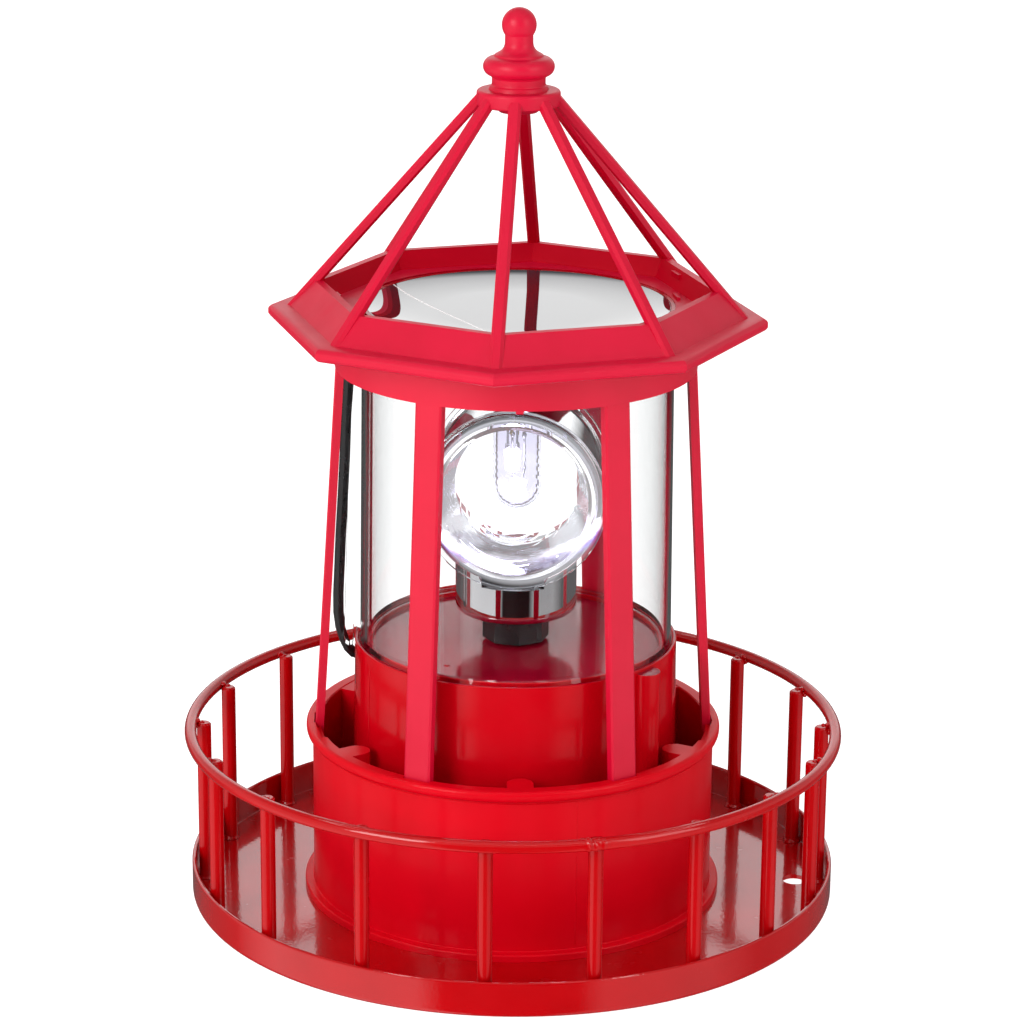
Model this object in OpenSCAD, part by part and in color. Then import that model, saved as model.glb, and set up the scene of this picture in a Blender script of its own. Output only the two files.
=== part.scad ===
// Garden lighthouse ornament: a solar lantern with a slowly turning lens,
// standing in a collar on a railed metal tray. Millimetres, +Z up.
// The origin is the centre of the tray's underside. Angles called az are
// measured about +Z from the front (-Y) towards +X.

/* [Tray and rail] */
// Outer radius of the tray rim
tray_r = 81.4; // [81:0.1:81.6]
// Height of the tray rim
tray_h = 9; // [8:0.5:12]
// Sheet thickness of the tray
tray_t = 1.2; // [1:0.05:1.3]
// Circle of the three fixing holes, diameter
hole_pcd = 145; // [136:1:145]
// Radius of a fixing hole
hole_r = 3.1; // [2:0.05:3.1]
// Radius of the rail ring, to the wire's centre
rail_r = 81.2; // [81:0.1:82]
// Height of the rail ring's centre
rail_z = 43.2; // [38:0.2:48]
// Thickness of the rail ring's wire
rail_wire = 3; // [2.6:0.1:3]
// Thickness of an upright wire
upright_wire = 3.6; // [3.2:0.1:3.6]

/* [Collar drum] */
// Outer radius of the drum wall
drum_r = 50.5; // [50.3:0.1:50.8]
// Height of the drum's rim
drum_top = 45; // [44:0.5:46]
// Wall thickness of the drum
drum_t = 2; // [1.8:0.1:2.2]

/* [Cage] */
// Angle by which the six posts are turned
post_turn = 2.3; // [0:0.1:4]
// Width of a post
post_w = 7; // [6.4:0.1:7.2]
// Depth of a post
post_d = 2.2; // [2:0.1:2.6]
// Outer radius of the posts at their feet
post_r_foot = 49.8; // [49.7:0.05:49.9]
// Outer radius of the cage's upper band
band_r = 44.4; // [44.3:0.1:44.6]

/* [Roof] */
// Corner radius of the brim
brim_r = 61.2; // [58:0.1:64]
// Corner radius at the foot of the sloping band
slope_r0 = 56.1; // [55:0.1:57]
// Corner radius at the top of the sloping band
slope_r1 = 49.9; // [49:0.1:51]
// Width of a roof rib
rib_w = 3.1; // [2.6:0.1:3.4]
// Turn of the roof's eight corners
roof_turn = -4.9; // [-10:0.1:10]

/* [Lamp unit] */
// Sideways play of the lamp unit in its collar
lamp_dx = 0.45; // [0:0.05:0.5]
// Outer radius of the lamp housing at its top
house_r = 40.3; // [40:0.1:40.4]
// Height of the deck inside the clear tube
deck_z = 66.2; // [66:0.1:66.4]
// Radius of the solar panel
panel_r = 37.1; // [36:0.1:37.2]

/* [Turning lens] */
// Height of the lens barrel's axis
barrel_z = 106.2; // [105:0.1:108]
// Outer radius of the lens barrel
barrel_r = 21.3; // [20:0.1:21.5]
// Length of the lens barrel
barrel_l = 26; // [24:0.5:27]
// Turn of the lens at rest
lens_turn = -3.5; // [-10:0.5:10]

/* [Gears] */
// Tooth module
gear_m = 0.6; // [0.6:0.01:0.6]
// Teeth of the two large gears
big_n = 36; // [36:1:36]
// Teeth of the two pinions
small_n = 12; // [12:1:12]

/* [Hidden] */
$fn = 96;
e = 0.02;

// az positions of the eighteen upright wires, as welded
upright_az = [-4.5, 14.5, 33.8, 52.6, 71.2, 89.6, 109.3, 130, 150, 170,
  190, 211, 231, 251.5, 271.2, 291, 311.5, 333.2];
// welded: each upright is pressed a little into the ring
upright_r = rail_r - rail_wire/2 - upright_wire/2 + 0.12;
drum_in = drum_r - drum_t;
// the front right post stands a little further round
post_az = [for (k = [0:5]) post_turn + 30 + 60*k + (k == 0 ? 0.6 : 0)];
boss_az = [for (k = [0:5]) post_turn + 60*k];
band_z0 = 137.1;
lean = atan((post_r_foot - band_r + 0.2)/(band_z0 - drum_top));
slope_z0 = 150.4;
slope_z1 = 156.7;
cd = gear_m*(big_n + small_n)/2;
idler_p = [0, cd];
motor_p = [-cd*cos(30), cd - cd*sin(30)];
motor_holes = [for (a = [120, 300]) [motor_p[0] + 6.2*cos(a), motor_p[1] + 6.2*sin(a)]];
bay_y = 11;

function arc(cx, cy, r, a0, a1, n) =
  [for (i = [0:n]) [cx + r*cos(a0 + (a1 - a0)*i/n), cy + r*sin(a0 + (a1 - a0)*i/n)]];
module out(a, r) { rotate([0, 0, a]) translate([0, -r, 0]) children(); }
module lamp() { translate([lamp_dx, 0, 0]) children(); }
module rotor() { lamp() rotate([0, 0, lens_turn]) children(); }
module tube(r1, r0, z0, z1) {
  translate([0, 0, z0]) difference() {
    cylinder(r = r1, h = z1 - z0);
    translate([0, 0, -1]) cylinder(r = r0, h = z1 - z0 + 2);
  }
}
module box(x0, x1, y0, y1, z0, z1) { translate([x0, y0, z0]) cube([x1 - x0, y1 - y0, z1 - z0]); }

// ---------- tray, rail and collar ----------
module tray() color("#c8101c") difference() {
  rotate_extrude() polygon(concat(
    [[36, 3], [46.4, 3], [47.6, 0]],
    arc(tray_r - 1.4, 1.4, 1.4, -90, 0, 6),
    arc(tray_r - 0.53, tray_h - 0.53, 0.53, 0, 180, 6),
    arc(tray_r - 1.4, 1.4, 1.4 - tray_t + 0.14, 0, -90, 5),
    [[48.1, tray_t], [46.9, 3 + tray_t], [36, 3 + tray_t]]));
  for (k = [0:2]) out(90 + 120*k, hole_pcd/2) translate([0, 0, -1]) cylinder(r = hole_r, h = 4);
  for (k = [0:2]) out(post_az[2*k], 44.4) translate([0, 0, 2]) cylinder(r = 1.5, h = 4);
}
module rail_ring() color("#c8101c")
  translate([0, 0, rail_z]) rotate_extrude() translate([rail_r, 0]) circle(d = rail_wire);
module rail_uprights() color("#c8101c")
  for (a = upright_az) out(a, upright_r) {
    translate([0, 0, tray_t]) cylinder(d = upright_wire, h = rail_z - tray_t - 0.4);
    translate([0, 0, rail_z - 0.4]) cylinder(d1 = upright_wire, d2 = upright_wire - 0.9, h = 0.45);
  }
module drum() color("#dd1030") difference() {
  union() {
    rotate_extrude() polygon(concat(
      [[36, 4.2], [46.9, 4.2], [drum_in, 4.2], [drum_in, tray_t]],
      [[drum_r + 2.2, tray_t]],
      arc(drum_r + 1.7, 2.5, 0.5, 0, 90, 4),
      arc(drum_r + 0.3, 3.3, 0.3, -90, -180, 3),
      [[drum_r, 41.3], [drum_r - 0.15, 41.5], [drum_r - 0.15, 41.8], [drum_r, 41.9]],
      arc(drum_r, 43.5, 1.6, -90, 0, 6),
      arc(drum_r + 0.5, drum_top - 1.1, 1.1, 0, 90, 5),
      [[drum_in + 0.3, drum_top], [drum_in, drum_top - 0.3], [drum_in, 6.2], [36, 6.2]]));
    // half-round guides inside the wall
    for (a = boss_az) out(a, 45.3) translate([0, 0, 6.1]) {
      cylinder(r = 3.2, h = drum_top - 6.3);
      translate([-3.2, -3.6, 0]) cube([6.4, 3.6, drum_top - 6.3]);
    }
    // bosses for the three screws
    for (k = [0:2]) out(post_az[2*k], 44.9) translate([0, 0, 6.1]) {
      cylinder(r = 2.6, h = 8);
      translate([-2.6, -4, 0]) cube([5.2, 4, 8]);
    }
  }
  // sockets for the posts' feet
  for (a = post_az) out(a, 0) translate([-post_w/2 - 0.1, -post_r_foot - 0.3, 41.6]) cube([post_w + 0.2, 6, 10]);
  // the sockets of the two side posts run on towards the front
  for (q = [[282, 6], [79.8, 7.3]]) out(q[0], 0) translate([-q[1], -49.75, drum_top - 1.2]) cube([2*q[1], 2.6, 5]);
  for (k = [0:2]) out(post_az[2*k], 44.4) translate([0, 0, 4]) cylinder(r = 1.22, h = 8.5);
}
module pan_screw(shank_r, head_r, head_h, len) {
  // head down at z = 0, point up
  difference() {
    union() {
      translate([0, 0, -head_h]) cylinder(r = head_r, h = head_h);
      translate([0, 0, -0.01]) cylinder(r = shank_r, h = len - shank_r + 0.01);
      translate([0, 0, len - shank_r]) cylinder(r1 = shank_r, r2 = 0.3, h = shank_r);
    }
    for (t = [0, 90]) rotate([0, 0, t]) translate([-head_r*0.62, -0.22, -head_h - 1]) cube([head_r*1.24, 0.44, 1 + head_h*0.55]);
  }
}
module drum_screws() color("silver")
  for (k = [0:2]) out(post_az[2*k], 44.4) translate([0, 0, 3]) pan_screw(1.2, 1.9, 1.6, 9);

// ---------- cage ----------
module lantern_cage() color("#e01432") {
  difference() {
    union() {
      tube(band_r, band_r - 1.8, band_z0, 148.4);
      for (a = post_az) out(a, 0) intersection() {
        translate([0, -post_r_foot, drum_top]) rotate([-lean, 0, 0]) translate([0, 0, -3.4]) linear_extrude(102)
          polygon([[-post_w/2 + 0.5, 0], [post_w/2 - 0.5, 0], [post_w/2, 0.35], [post_w/2, post_d], [-post_w/2, post_d], [-post_w/2, 0.35]]);
        translate([-10, -60, 41.6]) cube([20, 60, 103.4]);
      }
    }
    translate([0, 0, 143]) cylinder(r = band_r - 1.8, h = 10);
  }
  // gate mark below the band
  out(1.2, band_r - 0.9) translate([-0.9, -0.7, band_z0 - 0.7]) cube([1.8, 1.4, 0.8]);
}

// ---------- roof ----------
module oct(r) { rotate([0, 0, roof_turn]) circle(r = r, $fn = 8); }
module octcone(r0, r1, z0, z1) { translate([0, 0, z0]) rotate([0, 0, roof_turn]) cylinder(r1 = r0, r2 = r1, h = z1 - z0, $fn = 8); }
rib_k = 0.8715;
rib_a = atan(rib_k);
hub_z = 201;
module roof() color("#e01432") {
  difference() {
    union() {
      octcone(brim_r - 1.3, brim_r - 0.5, 147, 147.35);
      octcone(brim_r - 0.5, brim_r, 147.35, 148);
      translate([0, 0, 148]) linear_extrude(1.2) oct(brim_r);
      octcone(brim_r, brim_r - 0.3, 149.2, 149.7);
      octcone(brim_r - 0.3, brim_r - 0.9, 149.7, 150.15);
      octcone(brim_r - 0.9, brim_r - 1.9, 150.15, slope_z0);
      octcone(slope_r0, slope_r1, slope_z0, slope_z1);
    }
    translate([0, 0, 146]) cylinder(r = band_r + 0.1, h = 2.4);
    translate([0, 0, 146]) cylinder(r = 42.4, h = 4.2);
    translate([0, 0, 146]) cylinder(r = 38.7, h = 8);
    octcone(45.6, 47.9, 152.1, 157);
    translate([0, 0, 146]) tube(48.8, 46.4, 0, 5.5);
  }
  // clips on the inner wall
  out(115, 43.9) rotate([0, 0, -7.4]) translate([-2.6, -0.9, 154.6]) cube([5.2, 1.6, 1.3]);
  out(276.5, 43.9) rotate([0, 0, 11]) translate([-1.9, -0.9, 154.2]) cube([3.8, 1.6, 1.2]);
  // remains of the moulding gates on the ledge
  out(101, 39.9) translate([-2.6, -0.5, 151.9]) cube([5.2, 0.9, 0.9]);
  out(78.5, 39.9) translate([-0.9, -0.6, 151.9]) cube([1.8, 1.1, 1.2]);
  // ribs, running on down the corners of the sloping band
  difference() {
    for (k = [0:7]) out(roof_turn + 45*k, 0)
      translate([0, -50.8, slope_z1]) rotate([-rib_a, 0, 0]) translate([0, 0, -8.6]) linear_extrude(73.6)
        polygon([[-rib_w/2 + 0.7, 0], [rib_w/2 - 0.7, 0], [rib_w/2, 0.65], [rib_w/2, 1.9], [rib_w/2 - 0.55, 2.5], [0.55 - rib_w/2, 2.5], [-rib_w/2, 1.9], [-rib_w/2, 0.65]]);
    translate([0, 0, hub_z + 2.8]) cylinder(r = 70, h = 20);
    translate([0, 0, 140]) cylinder(r = 70, h = 10.3);
    cylinder(r = 2.45, h = 260);
  }
  // hub
  difference() {
    rotate_extrude() polygon(concat([[0, 199.4], [4.6, 199.4], [6.4, 201]],
      arc(9.5, hub_z + 0.6, 0.6, -90, 0, 3), arc(9.3, hub_z + 3, 0.8, 0, 90, 4), [[0, hub_z + 3.8]]));
    translate([0, 0, 190]) cylinder(r = 2.45, h = 30);
  }
}
module finial() color("#e01432") {
  rotate_extrude() polygon(concat(
    [[0, 199.6], [2, 199.6], [2.4, 200], [2.4, hub_z + 3.8], [7.2, hub_z + 3.8]],
    arc(7.1, 206.3, 0.65, -115, -180, 4),
    [[6.45, 207.6]],
    arc(6.35, 210.35, 2.25, -78, 84, 16),
    [[5.95, 212.75], [5.75, 213.2]],
    arc(6.1, 216.1, 2.7, -128, -180, 6),
    [[3.4, 216.9]],
    arc(0, 220.25, 4.17, -36, 90, 18)));
}

// ---------- lamp housing ----------
module column(a, r, z1) { out(a, r) translate([0, 0, 8.3]) cylinder(r = 3, h = z1 - 8.3); }
cover_az = [0, 145, 215];
pillars = [[24, 16], [-24, 16], [20, -14], [-20, -14]];
module lamp_housing() color("#d0001a") lamp() difference() {
  union() {
    rotate_extrude() polygon(concat(
      [[39.4, 6.2], [41.2, 6.2], [house_r + 0.02, 60]],
      arc(house_r - 0.45, 66.8, 0.45, 0, 180, 6),
      [[house_r - 0.9, deck_z], [37.05, deck_z], [37.05, deck_z + 0.9]],
      [[36.85, deck_z + 1.1], [36.1, deck_z + 1.1], [35.9, deck_z + 0.9], [35.9, deck_z], [0, deck_z], [0, deck_z - 2], [38.5, deck_z - 2]]));
    // screw bosses on the wall, outside
    for (b = [[52, 66.4], [137, 65.4]]) out(b[0], 40.6) intersection() {
      translate([0, 0, 6.2]) cylinder(r = 3.4, h = b[1] - 6.2);
      translate([-5, -10, 0]) cube([10, 11.2, 80]);
    }
    // cover columns with their webs
    for (a = cover_az) { column(a, 33.5, 24); out(a, 0) translate([-1, -40, 8.3]) cube([2, 5, 15.7]); }
    // pillars for the gear plate, and bearing bosses
    for (p = pillars) translate([p[0], p[1], 48.5]) cylinder(r = 2.7, h = 16.5);
    translate([0, 0, 60]) cylinder(r = 5.4, h = 5);
    translate([idler_p[0], idler_p[1], 59.6]) cylinder(r = 3, h = 5.4);
  }
  for (a = cover_az) out(a, 33.5) translate([0, 0, 8]) cylinder(r = 1.02, h = 10);
  for (p = pillars) translate([p[0], p[1], 48]) cylinder(r = 0.92, h = 8);
  translate([0, 0, 59]) cylinder(r = 3.02, h = 10);
  translate([idler_p[0], idler_p[1], 59]) cylinder(r = 1.02, h = 3.6);
  // the panel's lead passes through the wall
  translate([-37.2, 8.4, 58.4]) rotate([0, -90, 0]) cylinder(r = 1.7, h = 6);
}
module bottom_cover() color("#a00018") lamp() difference() {
  union() {
    translate([0, 0, 6.3]) cylinder(r = 39.1, h = 2);
    // battery bay walls
    difference() {
      box(-30, 29.4, bay_y - 9.8, bay_y + 9.8, 8.1, 19.5);
      box(-28.6, 28, bay_y - 8.4, bay_y + 8.4, 8, 20);
    }
    // boss for the door's screw
    translate([31.6, bay_y, 8.1]) cylinder(r = 2.3, h = 5.4);
    // board posts and the switch's frame
    for (x = [-22, 22], y = [-25, -7]) translate([x, y, 8.1]) cylinder(r = 2.4, h = 17.9);
  }
  box(-28.6, 28, bay_y - 8.4, bay_y + 8.4, 5, 9);
  box(27.9, 34.2, bay_y - 3.2, bay_y + 3.2, 5, 7.3);
  box(-3.1, 3.1, -21.3, -18.7, 5, 9);
  translate([31.6, bay_y, 5]) cylinder(r = 0.92, h = 7.6);
  for (a = cover_az) out(a, 33.5) translate([0, 0, 5]) cylinder(r = 1.3, h = 5);
  for (x = [-22, 22], y = [-25, -7]) translate([x, y, 19]) cylinder(r = 0.82, h = 8);
}
module cover_screws() color("silver") lamp()
  for (a = cover_az) out(a, 33.5) translate([0, 0, 6.3]) pan_screw(1, 2, 1.3, 10);
module battery_door() color("#a00018") lamp() difference() {
  union() {
    box(-28.3, 27.7, bay_y - 8.1, bay_y + 8.1, 6.3, 8.2);
    box(27.6, 33.9, bay_y - 2.9, bay_y + 2.9, 6.3, 7.2);
  }
  translate([31.6, bay_y, 5]) cylinder(r = 1.1, h = 5);
  for (i = [0:4]) box(-24 + i*2.2, -23 + i*2.2, bay_y - 5, bay_y + 5, 6.2, 6.7);
}
module door_screw() color("silver") lamp() translate([31.6, bay_y, 6.3]) pan_screw(0.9, 1.9, 1.2, 6);
module battery() color("#3a8f4a") lamp() translate([-24.4, bay_y, 16]) rotate([0, 90, 0])
  rotate_extrude() polygon(concat([[0, 0], [4.8, 0], [5.4, 0.4]],
    arc(6.5, 1, 0.6, -90, 0, 3), arc(6.5, 48.4, 0.6, 0, 90, 3), [[2.75, 49], [2.75, 50.2], [0, 50.2]]));
module battery_contact() color("silver") lamp() {
  box(25.9, 26.3, bay_y - 5, bay_y + 5, 10, 22.5);
  translate([25.9, bay_y, 16]) rotate([0, 90, 0]) translate([0, 0, 0.3]) cylinder(r = 3, h = 0.8);
  box(26.2, 27.2, bay_y - 1.5, bay_y + 1.5, 21.7, 22.5);
}
// wire swept round a coil that narrows towards the battery
module coil(turns, r0, r1, h, w, per) {
  n = turns*per;
  c = [for (i = [0:n]) let(t = i/n, a = 360*turns*t, r = r0 + (r1 - r0)*t) [r*cos(a), r*sin(a), w/2 + (h - w)*t]];
  pts = [for (i = [0:n]) let(a = 360*turns*i/n) for (j = [0:7])
    let(b = 45*j) c[i] + [w/2*cos(b)*cos(a), w/2*cos(b)*sin(a), w/2*sin(b)]];
  faces = concat([[for (j = [7:-1:0]) j]],
    [for (i = [0:n - 1]) for (j = [0:7]) [i*8 + j, i*8 + (j + 1)%8, (i + 1)*8 + (j + 1)%8, (i + 1)*8 + j]],
    [[for (j = [0:7]) n*8 + j]]);
  polyhedron(pts, faces, convexity = 4);
}
module battery_spring() color("silver") lamp() {
  box(-28.4, -28, bay_y - 5, bay_y + 5, 10, 22.5);
  translate([-28.2, bay_y, 16]) rotate([0, 90, 0]) coil(3, 4.3, 2.4, 3.7, 0.7, 14);
}
module circuit_board() color("#1f7a3d") lamp() difference() {
  box(-26, 26, -29, -3, 26.05, 27.65);
  for (x = [-22, 22], y = [-25, -7]) translate([x, y, 20]) cylinder(r = 1, h = 10);
  translate([0, -33.5, 20]) cylinder(r = 4.2, h = 10);
}
module board_parts() color("#303236") lamp() {
  box(-4, 6, -17, -11, 27.65, 29.4);
  box(-18, -12, -20, -15, 27.65, 29.2);
  translate([14, -20, 27.65]) cylinder(r = 3.1, h = 7);
  translate([15, -11, 27.65]) cylinder(r = 2.5, h = 5.6);
  translate([-15, -9, 27.65]) cylinder(r = 3, h = 4.2);
  for (y = [-24, -21.6]) translate([-4, y, 28.65]) rotate([0, 90, 0]) cylinder(r = 0.95, h = 6);
  box(-24.5, -19.5, -18, -12, 27.65, 32.4);
}
module board_screws() color("silver") lamp()
  for (x = [-22, 22], y = [-25, -7]) translate([x, y, 27.65]) mirror([0, 0, 1]) pan_screw(0.8, 1.7, 1.1, 7);
module switch_body() color("#c9ccd2") lamp() difference() {
  union() { box(-5.6, 5.6, -22.6, -17.4, 8.3, 12.4); for (x = [-3, 0, 3]) box(x - 0.3, x + 0.3, -20.3, -19.7, 12.3, 15.4); }
  box(-3.8, 3.8, -21.7, -18.3, 8, 10.2);
}
module switch_slider() color("#222222") lamp() {
  box(-2.7, 0.2, -20.9, -19.1, 4.6, 8.7);
  box(-3.4, 0.9, -21.45, -18.55, 8.5, 9.9);
}

// ---------- motor and gear train ----------
// tooth flank by the involute of the base circle
pa = 24;
add = 0.78;
ded = 1.12;
back = 0.09;
function inv(a) = tan(a)*180/PI - a;
function flank(n, r) = let(rp = gear_m*n/2, rb = rp*cos(pa), a = acos(min(1, rb/r)))
  (90/n - back*90/(PI*rp) + inv(pa) - inv(a));
module gear2d(n) {
  rp = gear_m*n/2;
  rb = rp*cos(pa);
  ra = rp + add*gear_m;
  rf = rp - ded*gear_m;
  rs = max(rb, rf);
  rr = [rs, (rs + rp)/2, rp, (rp + ra)/2, ra];
  polygon([for (k = [0:n - 1]) for (q = concat(
      [[k*360/n - flank(n, rs)*1.05, rf]],
      [for (i = [0:4]) [k*360/n - flank(n, rr[i]), rr[i]]],
      [for (i = [4:-1:0]) [k*360/n + flank(n, rr[i]), rr[i]]],
      [[k*360/n + flank(n, rs)*1.05, rf]])) [q[1]*cos(q[0]), q[1]*sin(q[0])]]);
}
module gear_plate() color("#d8d8d0") lamp() difference() {
  translate([0, 0, 46.5]) linear_extrude(2) intersection() { circle(r = 31); translate([-28, -18]) square([56, 38]); }
  translate([0, 0, 46.95]) cylinder(r = 1.56, h = 4);
  translate([idler_p[0], idler_p[1], 45]) cylinder(r = 1.02, h = 6);
  for (p = motor_holes) translate([p[0], p[1], 45]) cylinder(r = 0.85, h = 6);
  translate([motor_p[0], motor_p[1], 45]) cylinder(r = 3.2, h = 6);
  for (p = pillars) translate([p[0], p[1], 45]) cylinder(r = 1.1, h = 6);
}
module plate_screws() color("silver") lamp()
  for (p = pillars) translate([p[0], p[1], 46.5]) pan_screw(0.9, 1.9, 1.2, 7);
module motor() color("#b8bcc2") lamp() translate([motor_p[0], motor_p[1], 0]) difference() {
  union() {
    rotate_extrude() polygon(concat([[0, 33.6], [3, 33.6], [3, 34], [11.4, 34]], arc(11.6, 34.6, 0.6, -90, 0, 3),
      arc(11.6, 45.9, 0.6, 0, 90, 3), [[3.1, 46.5], [3.1, 47.4], [0, 47.4]]));
  }
  translate([0, 0, 44]) cylinder(r = 1.05, h = 5);
  for (p = motor_holes) translate([p[0] - motor_p[0], p[1] - motor_p[1], 44.4]) cylinder(r = 0.77, h = 4);
}
module motor_screws() color("silver") lamp()
  for (p = motor_holes) translate([p[0], p[1], 48.5]) mirror([0, 0, 1]) pan_screw(0.75, 1.4, 0.7, 3.6);
module motor_shaft() color("silver") lamp() translate([motor_p[0], motor_p[1], 44.2]) cylinder(r = 1, h = 8.7);
module motor_pinion() color("#e8e4d8") lamp() translate([motor_p[0], motor_p[1], 49.3]) difference() {
  rotate([0, 0, 30 + 15]) linear_extrude(3.4) gear2d(small_n);
  translate([0, 0, -1]) cylinder(r = 1.01, h = 6);
}
module idler_axle() color("silver") lamp() translate([idler_p[0], idler_p[1], 46.5]) cylinder(r = 1, h = 15.7);
module idler_gear() color("#e8e4d8") lamp() translate([idler_p[0], idler_p[1], 0]) difference() {
  union() {
    translate([0, 0, 49.6]) rotate([0, 0, 210]) linear_extrude(2.9) gear2d(big_n);
    translate([0, 0, 52.4]) rotate([0, 0, 270 + 15]) linear_extrude(5.4) gear2d(small_n);
    translate([0, 0, 48.9]) cylinder(r = 2, h = 1);
  }
  translate([0, 0, 45]) cylinder(r = 1.05, h = 20);
}
module output_gear() color("#e8e4d8") lamp() translate([0, 0, 53.4]) difference() {
  union() {
    rotate([0, 0, 90]) linear_extrude(3.4) gear2d(big_n);
    cylinder(r = 3, h = 5.4);
  }
  translate([0, 0, -1]) cylinder(r = 1.51, h = 12);
}
module spindle() color("silver") lamp() translate([0, 0, 47]) cylinder(r = 1.5, h = 26.9);
module spindle_bush() color("#b08a3e") lamp() difference() {
  union() { translate([0, 0, 59.9]) cylinder(r = 3, h = 6.5); translate([0, 0, 59.2]) cylinder(r = 4.6, h = 0.8); }
  translate([0, 0, 58]) cylinder(r = 1.55, h = 12);
}

// ---------- turning lens ----------
module rotor_hub() color("#1c1e20") rotor() difference() {
  translate([0, 0, 66.9]) rotate([0, 0, 10]) cylinder(r = 8.35, h = 7.6, $fn = 8);
  translate([0, 0, 60]) cylinder(r = 1.51, h = 14);
}
// waist of the two reflector bowls, and the square of their opening rate
waist_r = 15.4;
bowl_k = 13.6;
foot_z = 74.3;
module lens_barrel() color("#d5d8dc") rotor() difference() {
  union() {
    translate([0, barrel_l/2, barrel_z]) rotate([90, 0, 0]) cylinder(r = barrel_r, h = barrel_l);
    rotate_extrude() polygon(concat([[0, foot_z]], arc(13.3, foot_z + 1.8, 1.8, -90, 0, 8), [[15.1, 83.5], [0, 83.5]]));
    // the foot blends up into the barrel between its ends
    intersection() {
      translate([0, 0, 80]) cylinder(r = 15.1, h = 16.5);
      box(-20, 20, -barrel_l/2, barrel_l/2, 74, 100);
    }
  }
  // bore of the barrel
  translate([0, barrel_l/2 + 1, barrel_z]) rotate([90, 0, 0]) cylinder(r = barrel_r - 0.8, h = barrel_l + 2);
  // hollow foot, open below, round the core that the hub holds
  tube(12.9, 7.5, 72, 83);
  translate([0, 0, 70]) cylinder(r = 8.6, h = 4.5);
  // mouth for the light capsule
  translate([0, 0, barrel_z]) cylinder(r = 7.4, h = 40);
}
module reflector(s) {
  // a bowl from the waist to the barrel's end, s = -1 front and 1 rear
  rotor() difference() {
    translate([0, 0, barrel_z]) rotate([s > 0 ? -90 : 90, 0, 0]) rotate_extrude() polygon(concat(
      [for (i = [0:10]) let(y = 0.6 + (barrel_l/2 - 0.8)*i/10) [sqrt(waist_r*waist_r + bowl_k*(y - 0.6)), y]],
      [[barrel_r - 0.85, barrel_l/2 - 0.2], [barrel_r - 0.85, barrel_l/2 - 1.4]],
      [for (i = [9:-1:0]) let(y = 0.6 + (barrel_l/2 - 0.8)*i/10) [min(barrel_r - 0.85, 0.9 + sqrt(waist_r*waist_r + bowl_k*(y - 0.6))), y]],
      [[waist_r + 0.9, 0.02], [waist_r, 0.02]]));
    translate([0, 0, barrel_z]) cylinder(r = 7.4, h = 40);
  }
}
module front_reflector() color("#d5d8dc") reflector(-1);
module rear_reflector() color("#d5d8dc") reflector(1);
module lens(s) {
  // thin dome with a flange, s = -1 for the front end and 1 for the rear end
  rotor() translate([0, 0, barrel_z]) rotate([s > 0 ? -90 : 90, 0, 0])
    rotate_extrude() polygon(concat(
      [for (i = [0:12]) let(a = 36*i/12) [30.4*sin(a), barrel_l/2 + 2 + 30.4*cos(a) - 32*cos(38.5)]],
      [[18.4, barrel_l/2 + 0.05], [22.6, barrel_l/2 + 0.05]],
      arc(22.3, barrel_l/2 + 1.7, 0.3, 0, 90, 2),
      [for (i = [0:12]) let(a = 38.5*(1 - i/12)) [32*sin(a), barrel_l/2 + 2 + 32*cos(a) - 32*cos(38.5)]]));
}
module front_lens() color("#e8eef2", 0.4) lens(-1);
module rear_lens() color("#e8eef2", 0.4) lens(1);

// ---------- clear tube, cap and panel ----------
module clear_tube() color("#eef3f4", 0.35) lamp() {
  difference() {
    union() {
      rotate_extrude() polygon([[37.3, deck_z], [39.2, deck_z], [38.9, deck_z + 1.3], [38.2, 147], [36.6, 147]]);
      // guide for the panel's lead, moulded on the outside
      translate([0, 6, 0]) rotate([90, 0, 0]) linear_extrude(4) polygon([[-37.4, deck_z + 0.1], [-37.4, 131.6],
        [-40, 131.8], [-40.8, 131.2], [-41.2, 130], [-43.1, 64.9], [-42.8, 63.5], [-42, 62.9], [-41.2, 63.1], [-40.8, 63.9], [-40.8, 68.6]]);
    }
    translate([0, 0, 60]) cylinder(r = house_r + 0.2, h = 7.5);
  }
  rotate_extrude() polygon([[37.3, deck_z], [39.3, deck_z], [39.3, deck_z + 1], [38.9, deck_z + 2.3], [37.3, deck_z + 2.3]]);
}
module panel_cap() color("#8c0a18") lamp() difference() {
  union() {
    translate([0, 0, 147]) cylinder(r = 41.7, h = 2.95);
    tube(36.35, 34.8, 142.5, 147.1);
    translate([0, 0, 142]) cylinder(r = 7.3, h = 5.1);
    tube(38.2, 37.2, 149.8, 151.95);
  }
  translate([0, 0, 141]) cylinder(r = 5.88, h = 6);
  // slot for the lead
  out(-101.3, 41.2) translate([-1.6, -3, 146]) cube([3.2, 5.2, 2.6]);
}
// the cell's cover is flat in the middle and drawn up to the cap's rim
module solar_panel() color("#20242c") lamp() rotate_extrude() polygon(concat([[0, 149.95], [panel_r, 149.95]],
  [for (i = [12:-1:0]) let(r = 20 + (panel_r - 20)*i/12) [r, 150.6 + 0.0042*(r - 20)*(r - 20)]], [[0, 150.6]]));
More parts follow.
